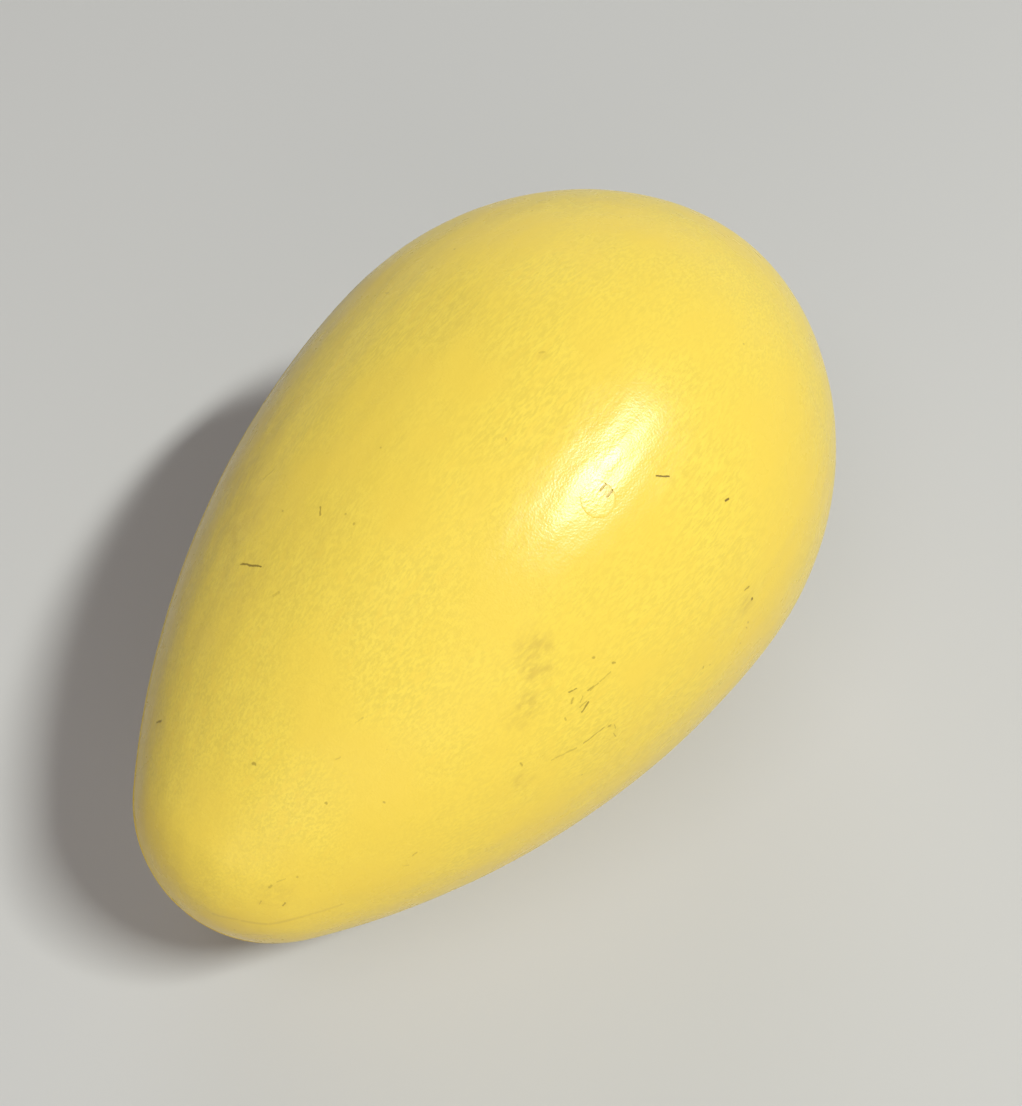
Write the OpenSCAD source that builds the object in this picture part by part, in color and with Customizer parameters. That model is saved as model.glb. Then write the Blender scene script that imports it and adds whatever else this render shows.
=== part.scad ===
// Hollow egg-shaped play ball in hard plastic, with the plug that closes its moulding hole.
// Millimetres. The ball lies at rest: +Z is up, z = 0 is the ground it lies on.
// +X points to the blunt end.

/* [Egg outline] */
// Length from tip to tip
egg_length = 305; // [285:1:330]
// Largest diameter
egg_d = 192; // [178:1:206]
// Distance along the axis from the widest circle to the blunt tip
blunt_length = 112; // [106:1:122]
// Radius of the blunt end cap
blunt_r = 79; // [68:1:85]
// Radius of the narrow end cap
narrow_r = 47; // [38:1:58]
// Thickness of the moulded wall
wall = 5; // [3.5:0.5:8]

/* [Parting line] */
// Height of the line that the two mould halves leave
parting_h = 0.2; // [0.1:0.05:0.4]
// Width of that line
parting_w = 1.2; // [0.8:0.1:2]

/* [Plug place] */
// Distance along the axis from the narrow tip to the middle of the plug
plug_from_tip = 162; // [130:1:185]
// Turn of the plug about the long axis, from the top of the resting ball towards -Y
plug_turn = 31.5; // [0:0.5:60]

/* [Plug] */
// Diameter of the plug's flat head
head_d = 11; // [9:0.5:15]
// Thickness of the head
head_h = 1.8; // [1.2:0.1:2.5]
// Depth of the head's face below the surface of the egg, at the middle of the head
head_sink = 0.1; // [0:0.05:0.5]
// Chamfer round the edge of the head
head_chamfer = 0.1; // [0.05:0.05:0.4]
// Diameter of the spigot that grips the hole
spigot_d = 8; // [6:0.5:8]
// Length of the spigot below the head
spigot_l = 8; // [5:0.5:12]
// Length of the taper that leads the spigot into the hole
lead_l = 1.2; // [0.6:0.1:2]
// Narrowing of the radius over that taper
lead_in = 0.6; // [0.3:0.1:1]
// Diameter of the hollow core that lets the spigot spring
core_d = 4; // [2:0.5:4.5]
// Solid thickness between the core and the face of the head
core_floor = 2.6; // [2:0.1:3.5]

/* [Pry slots] */
// Width of each of the two slots in the head
slot_w = 0.7; // [0.5:0.1:1]
// Distance from the middle of the plug to the inner ends of the slots, which run out through the rim
slot_start = 2.2; // [1.2:0.1:3]
// Depth of each slot below the face of the head
slot_depth = 0.4; // [0.2:0.1:1]
// Distance between the middle lines of the two slots
slot_pitch = 2.9; // [2:0.1:4]

/* [Fits] */
// Radial clearance of the head in its seat
head_gap = 0.05; // [0.02:0.01:0.2]
// Radial clearance of the spigot in the hole
spigot_gap = 0.05; // [0.02:0.01:0.1]

/* [Hidden] */
$fn = 240;
// How far a cut runs past the surface that it opens
over = 1;

// The outline is four arcs that meet tangentially: blunt cap, shoulder, flank and narrow cap.
// Positions along the axis are counted from the narrow tip.
egg_r = egg_d / 2;
widest_u = egg_length - blunt_length;
blunt_u = egg_length - blunt_r;
narrow_u = narrow_r;

// Radius of an arc that is level at the widest circle and runs tangentially into an end cap
function side_radius(reach, cap_r) = (pow(reach, 2) / (egg_r - cap_r) + egg_r + cap_r) / 2;
shoulder_r = side_radius(blunt_u - widest_u, blunt_r);
flank_r = side_radius(widest_u - narrow_u, narrow_r);

// Where the arcs meet, as the angle of the common normal from the axis
shoulder_angle = atan2(shoulder_r - egg_r, blunt_u - widest_u);
flank_angle = atan2(flank_r - egg_r, narrow_u - widest_u);

// Each arc: distance of its centre from the axis, its place along the axis, radius, first and last angle
ARCS = [
    [0, blunt_u, blunt_r, 0, shoulder_angle],
    [egg_r - shoulder_r, widest_u, shoulder_r, shoulder_angle, 90],
    [egg_r - flank_r, widest_u, flank_r, 90, flank_angle],
    [0, narrow_u, narrow_r, flank_angle, 180]
];

// Surface swept by an arc of radius r about the axis, and its first moment along the axis, both over 2 pi
function arc_area(a, r) =
    r * (a[0] * (a[4] - a[3]) * PI / 180 + r * (cos(a[3]) - cos(a[4])));
function arc_moment(a, r) =
    a[1] * arc_area(a, r)
    + r * (a[0] * r * (sin(a[4]) - sin(a[3])) + r * r * (pow(sin(a[4]), 2) - pow(sin(a[3]), 2)) / 2);
function total(list, i = 0) = i < len(list) ? list[i] + total(list, i + 1) : 0;

// Balance point of the shell along the axis, taken on the middle of its wall
balance_u = total([for (a = ARCS) arc_moment(a, a[2] - wall / 2)])
    / total([for (a = ARCS) arc_area(a, a[2] - wall / 2)]);

// At rest the balance point lies straight above the spot that touches the ground
rest_r = balance_u < widest_u ? flank_r : shoulder_r;
rest_tilt = atan((widest_u - balance_u) / (rest_r - egg_r));
rest_height = rest_r - (rest_r - egg_r) * cos(rest_tilt);
// Place of the widest circle that centres the resting ball on the origin
rest_x = -((blunt_u + narrow_u - 2 * widest_u) * cos(rest_tilt) + blunt_r - narrow_r) / 2;

// The plug stands square to the surface
plug_arc_r = plug_from_tip < widest_u ? flank_r : shoulder_r;
plug_lean = asin((widest_u - plug_from_tip) / plug_arc_r);
plug_r = egg_r - plug_arc_r * (1 - cos(plug_lean));

SHELL_COLOR = "#f2d84e";
PLUG_COLOR = "#e8c93c";

// Moves what is built with its axis along +Z, narrow tip at the origin, to the resting place
module at_rest() {
    translate([rest_x, 0, rest_height])
        rotate([0, 90 - rest_tilt, 0])
            translate([0, 0, -widest_u])
                children();
}

// Moves what is built along +Z from the floor of the head's seat to the plug's place.
// +X then points to the blunt end.
module at_seat() {
    rotate([0, 0, plug_turn])
        translate([-plug_r, 0, plug_from_tip])
            rotate([0, -90 - plug_lean, 0])
                translate([0, 0, -head_sink - head_h])
                    children();
}

// The egg with its whole surface moved in by inset
module egg_solid(inset) {
    for (a = ARCS) {
        top = a[3] == 0 ? egg_length : a[1] + (a[2] - inset) * cos(a[3]);
        bottom = a[4] == 180 ? 0 : a[1] + (a[2] - inset) * cos(a[4]);
        past_top = a[3] == 0 ? over : 0;
        past_bottom = a[4] == 180 ? over : 0;
        rotate_extrude()
            intersection() {
                translate([a[0], a[1]])
                    circle(r = a[2] - inset);
                translate([0, bottom - past_bottom])
                    square([egg_d, top - bottom + past_top + past_bottom]);
            }
    }
}

// Fine raised line all round, in the plane of the axis that is square to the plug
module parting_line() {
    intersection() {
        egg_solid(-parting_h);
        rotate([0, 0, plug_turn])
            translate([-parting_w / 2, -egg_d, -over])
                cube([parting_w, 2 * egg_d, egg_length + 2 * over]);
    }
}

// Hole for the spigot and seat for the head, with the floor of the seat at z = 0
module plug_hole() {
    translate([0, 0, -2 * wall])
        cylinder(r = spigot_d / 2 + spigot_gap, h = 2 * wall + over);
    cylinder(r = head_d / 2 + head_gap, h = head_h + head_sink + over);
}

module ball_shell() {
    color(SHELL_COLOR)
        at_rest()
            difference() {
                union() {
                    egg_solid(0);
                    parting_line();
                }
                egg_solid(wall);
                at_seat() plug_hole();
            }
}

// Head, spigot and hollow core turned as one, with the underside of the head at z = 0
module plug_body() {
    rotate_extrude()
        polygon([
            [core_d / 2, -spigot_l],
            [spigot_d / 2 - lead_in, -spigot_l],
            [spigot_d / 2, lead_l - spigot_l],
            [spigot_d / 2, 0],
            [head_d / 2, 0],
            [head_d / 2, head_h - head_chamfer],
            [head_d / 2 - head_chamfer, head_h],
            [0, head_h],
            [0, head_h - core_floor],
            [core_d / 2, head_h - core_floor]
        ]);
}

// The two slots side by side, open at the rim on the side of the blunt end
module pry_slots() {
    for (side = [-1, 1])
        translate([slot_start, side * slot_pitch / 2 - slot_w / 2, head_h - slot_depth])
            cube([head_d, slot_w, slot_depth + over]);
}

module seal_plug() {
    color(PLUG_COLOR)
        at_rest()
            at_seat()
                difference() {
                    plug_body();
                    pry_slots();
                }
}

ball_shell();
seal_plug();
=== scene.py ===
"""Egg-shaped play ball in yellow hard plastic, lying at rest: shapes, finishes, light and camera.

All lengths are in metres unless a name ends in _mm. The ball's own axes have their origin at the
narrow tip, +X along the long axis towards the blunt end, and +Z up through the top of the resting
ball. A turn is an angle about the long axis, in degrees, from the top towards the plug's side.
"""

import logging
import math
from collections.abc import Callable, Iterable
from dataclasses import dataclass
from enum import Enum
from typing import ClassVar

import bpy
from mathutils import Matrix, Vector

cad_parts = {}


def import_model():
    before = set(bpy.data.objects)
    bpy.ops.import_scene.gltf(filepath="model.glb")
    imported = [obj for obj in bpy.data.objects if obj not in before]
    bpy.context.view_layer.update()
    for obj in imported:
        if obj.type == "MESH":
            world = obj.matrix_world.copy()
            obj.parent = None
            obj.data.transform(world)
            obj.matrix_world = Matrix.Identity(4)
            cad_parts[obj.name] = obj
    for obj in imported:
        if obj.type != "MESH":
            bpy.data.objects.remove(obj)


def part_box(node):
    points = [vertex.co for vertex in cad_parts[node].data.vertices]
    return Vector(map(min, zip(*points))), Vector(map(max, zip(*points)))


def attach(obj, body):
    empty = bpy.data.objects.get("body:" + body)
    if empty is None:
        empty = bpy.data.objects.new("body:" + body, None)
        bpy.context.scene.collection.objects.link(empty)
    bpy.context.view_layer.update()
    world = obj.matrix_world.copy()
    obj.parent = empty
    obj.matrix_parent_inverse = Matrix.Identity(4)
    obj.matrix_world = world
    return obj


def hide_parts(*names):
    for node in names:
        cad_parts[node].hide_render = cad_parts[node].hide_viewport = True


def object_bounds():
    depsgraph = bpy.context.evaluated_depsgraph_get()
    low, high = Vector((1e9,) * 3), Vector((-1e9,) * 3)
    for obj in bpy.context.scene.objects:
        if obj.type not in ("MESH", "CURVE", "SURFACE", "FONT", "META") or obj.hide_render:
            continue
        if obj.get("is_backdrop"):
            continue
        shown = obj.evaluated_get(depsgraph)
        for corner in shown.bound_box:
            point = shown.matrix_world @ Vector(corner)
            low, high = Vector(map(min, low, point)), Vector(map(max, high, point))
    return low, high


Piece = bpy.types.Object
Material = bpy.types.Material
Socket = bpy.types.NodeSocket
Colour = tuple[float, float, float, float]
Outline = list[tuple[float, float]]

MM = 0.001
HAIR = 0.01 * MM
ORIGIN = Vector((0.0, 0.0, 0.0))
LONG_AXIS = Vector((1.0, 0.0, 0.0))
UP = Vector((0.0, 0.0, 1.0))

log = logging.getLogger("play_ball")


class Slot(Enum):
    """Material slots of the record."""

    SHELL = "shell_plastic"
    PLUG = "plug_plastic"


# --- Form of the egg ---------------------------------------------------------


@dataclass(frozen=True)
class Arc:
    """One round stretch of the egg's outline, in a half plane that ends at the long axis.

    Attributes:
        along: Place of the arc's centre along the long axis.
        off: Distance of the centre from the long axis, negative on the far side.
        radius: Radius of the arc.
        start: Angle of the first normal from the long axis, in radians.
        end: Angle of the last normal from the long axis, in radians.
    """

    along: float
    off: float
    radius: float
    start: float
    end: float

    @property
    def length(self) -> float:
        """Length of the arc."""
        return self.radius * (self.end - self.start)

    def swept_area(self, inset: float) -> float:
        """Area that the arc sweeps about the long axis.

        Args:
            inset: Distance that the arc is moved in by.

        Returns:
            The area over 2 pi.
        """
        r = self.radius - inset
        drop = math.cos(self.start) - math.cos(self.end)
        return r * (self.off * (self.end - self.start) + r * drop)

    def swept_moment(self, inset: float) -> float:
        """First moment along the long axis of the area that the arc sweeps.

        Args:
            inset: Distance that the arc is moved in by.

        Returns:
            The moment over 2 pi.
        """
        r = self.radius - inset
        leaning = self.off * r * (math.sin(self.end) - math.sin(self.start))
        squares = r * r * (math.sin(self.end) ** 2 - math.sin(self.start) ** 2) / 2
        return self.along * self.swept_area(inset) + r * (leaning + squares)


@dataclass(frozen=True)
class EggForm:
    """Outline of the egg, and how it lies at rest.

    Attributes:
        length: Length from tip to tip.
        diameter: Largest diameter.
        blunt_length: Distance along the axis from the widest circle to the blunt tip.
        blunt_radius: Radius of the blunt end cap.
        narrow_radius: Radius of the narrow end cap.
        wall: Thickness of the moulded wall.
    """

    length: float = 305 * MM
    diameter: float = 192 * MM
    blunt_length: float = 112 * MM
    blunt_radius: float = 79 * MM
    narrow_radius: float = 47 * MM
    wall: float = 5 * MM

    @property
    def radius(self) -> float:
        """Largest radius."""
        return self.diameter / 2

    @property
    def widest(self) -> float:
        """Place of the widest circle along the long axis."""
        return self.length - self.blunt_length

    def side_radius(self, reach: float, cap_radius: float) -> float:
        """Radius of the arc from the widest circle to a cap whose centre is a reach away."""
        return (reach**2 / (self.radius - cap_radius) + self.radius + cap_radius) / 2

    def arcs(self) -> list[Arc]:
        """Finds the four arcs of the outline, each tangent to the next.

        Returns:
            The arcs, from the blunt tip to the narrow one.
        """
        blunt_at = self.length - self.blunt_radius
        narrow_at = self.narrow_radius
        shoulder = self.side_radius(blunt_at - self.widest, self.blunt_radius)
        flank = self.side_radius(self.widest - narrow_at, self.narrow_radius)
        first = math.atan2(shoulder - self.radius, blunt_at - self.widest)
        last = math.atan2(flank - self.radius, narrow_at - self.widest)
        return [
            Arc(blunt_at, 0.0, self.blunt_radius, 0.0, first),
            Arc(self.widest, self.radius - shoulder, shoulder, first, math.pi / 2),
            Arc(self.widest, self.radius - flank, flank, math.pi / 2, last),
            Arc(narrow_at, 0.0, self.narrow_radius, last, math.pi),
        ]

    def arc_at(self, along: float) -> Arc:
        """Finds the arc that the outline follows at a place along the axis.

        Args:
            along: Place along the axis, from the narrow tip.

        Returns:
            The arc whose stretch covers that place.
        """
        for arc in self.arcs():
            if along >= arc.along + arc.radius * math.cos(arc.end):
                return arc
        return self.arcs()[-1]

    def balance(self) -> float:
        """Finds the shell's balance point, on the middle of its wall.

        Returns:
            Its place along the axis.
        """
        arcs = self.arcs()
        moment = sum(arc.swept_moment(self.wall / 2) for arc in arcs)
        return moment / sum(arc.swept_area(self.wall / 2) for arc in arcs)

    def to_rest(self) -> Matrix:
        """Finds how the ball lies, with its balance point above the spot that touches the ground.

        Returns:
            The turn and move from the ball's own axes.
        """
        side = self.arc_at(self.balance())
        tilt = math.atan((self.widest - self.balance()) / (side.radius - self.radius))
        height = side.radius - (side.radius - self.radius) * math.cos(tilt)
        caps = self.length - self.blunt_radius + self.narrow_radius - 2 * self.widest
        middle = -(caps * math.cos(tilt) + self.blunt_radius - self.narrow_radius) / 2
        turn = Matrix.Rotation(-tilt, 4, "Y")
        from_widest = Matrix.Translation((-self.widest, 0.0, 0.0))
        return Matrix.Translation((middle, 0.0, height)) @ turn @ from_widest

    def place(self, along: float, turn: float) -> Matrix:
        """Finds axes on the surface, in the ball's own axes.

        Args:
            along: Place along the long axis, from the narrow tip.
            turn: Turn about the long axis.

        Returns:
            A matrix with its origin on the surface, +Z outwards and +X towards the blunt end.
        """
        arc = self.arc_at(along)
        lean = math.asin((along - arc.along) / arc.radius)
        outward = across(turn)
        normal = outward * math.cos(lean) + LONG_AXIS * math.sin(lean)
        tangent = LONG_AXIS * math.cos(lean) - outward * math.sin(lean)
        origin = LONG_AXIS * along + outward * (arc.off + arc.radius * math.cos(lean))
        axes = Matrix((tangent, normal.cross(tangent), normal)).transposed().to_4x4()
        return Matrix.Translation(origin) @ axes


def across(turn: float) -> Vector:
    """Direction square to the long axis at a turn, in the ball's own axes."""
    return Vector((0.0, -math.sin(math.radians(turn)), math.cos(math.radians(turn))))


# --- Hand tools --------------------------------------------------------------


def release_all() -> None:
    """Deselects every piece."""
    bpy.ops.object.select_all(action="DESELECT")


def hold(piece: Piece) -> None:
    """Selects a piece alone and makes it the active one.

    Args:
        piece: The piece.
    """
    release_all()
    piece.select_set(True)
    bpy.context.view_layer.objects.active = piece


def edit(piece: Piece) -> None:
    """Opens a piece in edit mode, with nothing selected.

    Args:
        piece: The piece to work on.
    """
    hold(piece)
    bpy.ops.object.mode_set(mode="EDIT")
    bpy.ops.mesh.select_all(action="DESELECT")


def leave_edit() -> None:
    """Goes back to object mode."""
    bpy.ops.object.mode_set(mode="OBJECT")


def pick_vertices(piece: Piece, wanted: Callable[[Vector], bool]) -> int:
    """Selects the vertices of a piece in edit mode by their place, and nothing else.

    Args:
        piece: The piece, open in edit mode.
        wanted: Says of a vertex's place whether it is selected.

    Returns:
        How many vertices are selected.
    """
    bpy.ops.mesh.select_mode(type="VERT")
    bpy.ops.mesh.select_all(action="DESELECT")
    leave_edit()
    vertices = piece.data.vertices
    for vertex in vertices:
        vertex.select = wanted(vertex.co)
    count = sum(vertex.select for vertex in vertices)
    bpy.ops.object.mode_set(mode="EDIT")
    return count


def lone_vertex(name: str, place: Vector) -> Piece:
    """Starts a piece from one vertex, open in edit mode with that vertex selected.

    Args:
        name: Name of the piece.
        place: Place of the vertex.

    Returns:
        The new piece.
    """
    release_all()
    bpy.ops.mesh.primitive_plane_add(size=MM, location=place)
    piece = bpy.context.active_object
    piece.name = name
    piece.data.name = name
    bpy.ops.object.transform_apply()
    bpy.ops.object.mode_set(mode="EDIT")
    bpy.ops.mesh.select_all(action="SELECT")
    bpy.ops.mesh.merge(type="CENTER")
    return piece


def spin(steps: int, angle: float, centre: Vector, axis: Vector) -> None:
    """Extrudes the selection round an axis, by the right-hand rule."""
    # The operator itself turns the other way
    bpy.ops.mesh.spin(steps=steps, angle=angle, center=centre, axis=-axis, use_auto_merge=False)


def close_and_orient() -> None:
    """Merges doubled vertices of the piece in edit mode and points its faces outwards."""
    bpy.ops.mesh.select_all(action="SELECT")
    bpy.ops.mesh.remove_doubles(threshold=0.001 * MM)
    bpy.ops.mesh.normals_make_consistent(inside=False)


def apply_modifier(piece: Piece, kind: str, **settings: object) -> None:
    """Adds a modifier to a piece and applies it.

    Args:
        piece: The piece.
        kind: The modifier's type.
        **settings: Values for the modifier.
    """
    hold(piece)
    modifier = piece.modifiers.new(kind.lower(), kind)
    for key, value in settings.items():
        setattr(modifier, key, value)
    bpy.ops.object.modifier_apply(modifier=modifier.name)


def carve(piece: Piece, cutter: Piece) -> None:
    """Cuts a solid, which is used up, out of a piece."""
    apply_modifier(piece, "BOOLEAN", operation="DIFFERENCE", object=cutter, solver="EXACT")
    bpy.data.objects.remove(cutter)


def bake_place(piece: Piece, matrix: Matrix) -> None:
    """Moves a piece's mesh, so that its object stays at the origin.

    Args:
        piece: The piece.
        matrix: Where it goes.
    """
    piece.matrix_world = matrix
    hold(piece)
    bpy.ops.object.transform_apply()


def smooth(piece: Piece, angle: float) -> None:
    """Shades a piece smooth, apart from edges bent by more than an angle in degrees."""
    hold(piece)
    bpy.ops.object.shade_smooth_by_angle(angle=math.radians(angle))


def turned(name: str, outline: Outline, steps: int) -> Piece:
    """Turns a closed solid on a lathe, about +Z.

    Args:
        name: Name of the piece.
        outline: Radius and height of each corner, from one end of the axis to the other.
        steps: Number of steps in the whole turn.

    Returns:
        The solid, in object mode.
    """
    corners = [Vector((radius, 0.0, height)) for radius, height in outline]
    piece = lone_vertex(name, corners[0])
    for before, after in zip(corners, corners[1:]):
        bpy.ops.mesh.extrude_region_move(TRANSFORM_OT_translate={"value": after - before})
    bpy.ops.mesh.select_all(action="SELECT")
    spin(steps, 2 * math.pi, ORIGIN, UP)
    close_and_orient()
    leave_edit()
    return piece


def coat(piece: Piece, material: Material) -> None:
    """Gives a piece one material all over."""
    piece.data.materials.clear()
    piece.data.materials.append(material)


def report(piece: Piece) -> None:
    """Logs a finished piece."""
    log.info("%s: %d faces", piece.name, len(piece.data.polygons))


# --- Plug --------------------------------------------------------------------


@dataclass(frozen=True)
class PlugForm:
    """Sizes of the plug and of its hole. Heights are counted from the floor of the head's seat.

    Attributes:
        along: Place of the plug along the long axis.
        turn: Turn of the plug about the long axis.
        head_radius: Radius of the flat head.
        head_height: Thickness of the head.
        sink: Depth of the head's face below the surface.
        soft_edge: Radius that rounds the edge of the head.
        crown: Rise of the middle of the face, which follows the surface of the ball.
        spigot_radius: Radius of the spigot.
        spigot_length: Length of the spigot.
        lead_length: Length of the taper at the spigot's end.
        lead_in: Narrowing of the radius over that taper.
        core_radius: Radius of the hollow core.
        core_floor: Thickness between the core and the face of the head.
        head_gap: Clearance of the head in its seat.
        spigot_gap: Clearance of the spigot in its hole.
        slot_width: Width of each of the two slots in the face.
        slot_start: Distance from the middle of the head to the inner end of the slots.
        slot_depth: Depth of the slots.
        slot_pitch: Distance between the middle lines of the slots.
    """

    along: float = 162 * MM
    turn: float = 31.5
    head_radius: float = 5.5 * MM
    head_height: float = 1.8 * MM
    sink: float = 0.1 * MM
    soft_edge: float = 0.03 * MM
    crown: float = 0.1 * MM
    spigot_radius: float = 4 * MM
    spigot_length: float = 8 * MM
    lead_length: float = 1.2 * MM
    lead_in: float = 0.6 * MM
    core_radius: float = 2 * MM
    core_floor: float = 2.6 * MM
    head_gap: float = 0.015 * MM
    spigot_gap: float = 0.05 * MM
    slot_width: float = 0.7 * MM
    slot_start: float = 2.2 * MM
    slot_depth: float = 0.4 * MM
    slot_pitch: float = 2.9 * MM

    def seat(self, form: EggForm) -> Matrix:
        """Axes at the floor of the head's seat, in the ball's own axes, with +Z outwards."""
        down = Matrix.Translation((0.0, 0.0, -self.sink - self.head_height))
        return form.place(self.along, self.turn) @ down

    def hole_outline(self, wall: float) -> Outline:
        """Outlines what is cut out of the wall, with a soft mouth.

        Args:
            wall: Thickness of the wall.

        Returns:
            Radius and height of each corner.
        """
        hole = self.spigot_radius + self.spigot_gap
        seat = self.head_radius + self.head_gap
        mouth = self.head_height - self.soft_edge
        return [
            (0.0, -2 * wall),
            (hole, -2 * wall),
            (hole, 0.0),
            (seat, 0.0),
            (seat, mouth),
            (seat + wall, mouth + wall),
            (0.0, mouth + wall),
        ]

    def outline(self, face_steps: int, edge_steps: int) -> Outline:
        """Outlines the plug, from the middle of its face to the end of its core.

        Args:
            face_steps: Number of steps from the middle of the face to its edge.
            edge_steps: Number of steps round the edge of the head.

        Returns:
            Radius and height of each corner.
        """
        corners = []
        for step in range(face_steps):
            share = step / face_steps
            rise = self.crown * (1 - share**2)
            corners.append((share * (self.head_radius - self.soft_edge), self.head_height + rise))
        for step in range(edge_steps + 1):
            angle = math.pi / 2 * step / edge_steps
            outwards = self.head_radius - self.soft_edge * (1 - math.sin(angle))
            upwards = self.head_height - self.soft_edge * (1 - math.cos(angle))
            corners.append((outwards, upwards))
        return corners + [
            (self.head_radius, 0.0),
            (self.spigot_radius, 0.0),
            (self.spigot_radius, self.lead_length - self.spigot_length),
            (self.spigot_radius - self.lead_in, -self.spigot_length),
            (self.core_radius, -self.spigot_length),
            (self.core_radius, self.head_height - self.core_floor),
            (0.0, self.head_height - self.core_floor),
        ]


@dataclass(frozen=True)
class SealPlug:
    """The plug that closes the moulding hole: a flat head with two pry slots, on a hollow spigot.

    Attributes:
        form: Outline of the egg.
        sizes: Sizes of the plug.
        steps: Number of steps in the whole turn.
        face_steps: Number of steps from the middle of the face to its edge.
        edge_steps: Number of steps round the edge of the head.
        end_steps: Number of steps round each corner of a slot's inner end.
        end_round: Radius of those corners, as a share of the slot's width.
        sharp: Bend above which an edge stays sharp, in degrees.
    """

    form: EggForm
    sizes: PlugForm
    steps: int = 128
    face_steps: int = 8
    edge_steps: int = 4
    end_steps: int = 5
    end_round: float = 0.45
    sharp: float = 30.0

    def slot_cutter(self, side: int) -> Piece:
        """Makes the solid that cuts one slot: a bar with a round inner end.

        Args:
            side: -1 or 1, the side of the middle line.

        Returns:
            The cutter.
        """
        sizes = self.sizes
        reach = 2 * sizes.head_radius
        middle = (sizes.slot_start + reach / 2, side * sizes.slot_pitch / 2, sizes.head_height)
        bar = (reach, sizes.slot_width, 2 * sizes.slot_depth)
        release_all()
        bpy.ops.mesh.primitive_cube_add(size=1.0, location=middle, scale=bar)
        cutter = bpy.context.active_object
        bpy.ops.object.transform_apply()
        edit(cutter)
        pick_vertices(cutter, lambda place: place.x < sizes.slot_start + sizes.slot_width / 4)
        bpy.ops.mesh.select_mode(type="EDGE")
        leave_edit()
        places = cutter.data.vertices
        for edge in cutter.data.edges:
            first, second = (places[index].co for index in edge.vertices)
            if abs(first.z - second.z) < HAIR:
                edge.select = False
        bpy.ops.object.mode_set(mode="EDIT")
        bpy.ops.mesh.bevel(offset=sizes.slot_width * self.end_round, segments=self.end_steps)
        leave_edit()
        return cutter

    def build(self) -> Piece:
        """Builds the plug in its seat.

        Returns:
            The plug, with the ball at rest.
        """
        outline = self.sizes.outline(self.face_steps, self.edge_steps)
        plug = turned("plug_turning", outline, self.steps)
        for side in (-1, 1):
            carve(plug, self.slot_cutter(side))
        bake_place(plug, self.form.to_rest() @ self.sizes.seat(self.form))
        smooth(plug, self.sharp)
        return plug

    def dress(self, plug: Piece, material: Material) -> None:
        """Gives the plug its finish and its place among the bodies.

        Args:
            plug: The plug.
            material: Its material.
        """
        coat(plug, material)
        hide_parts("seal_plug")
        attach(plug, "plug")
        report(plug)


# --- Shell -------------------------------------------------------------------


@dataclass(frozen=True)
class Unevenness:
    """Waves that the cooling mould leaves in the surface.

    Attributes:
        name: Name of the waves.
        depth: Height from trough to crest.
        length: Size of one wave.
    """

    name: str
    depth: float
    length: float


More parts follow.
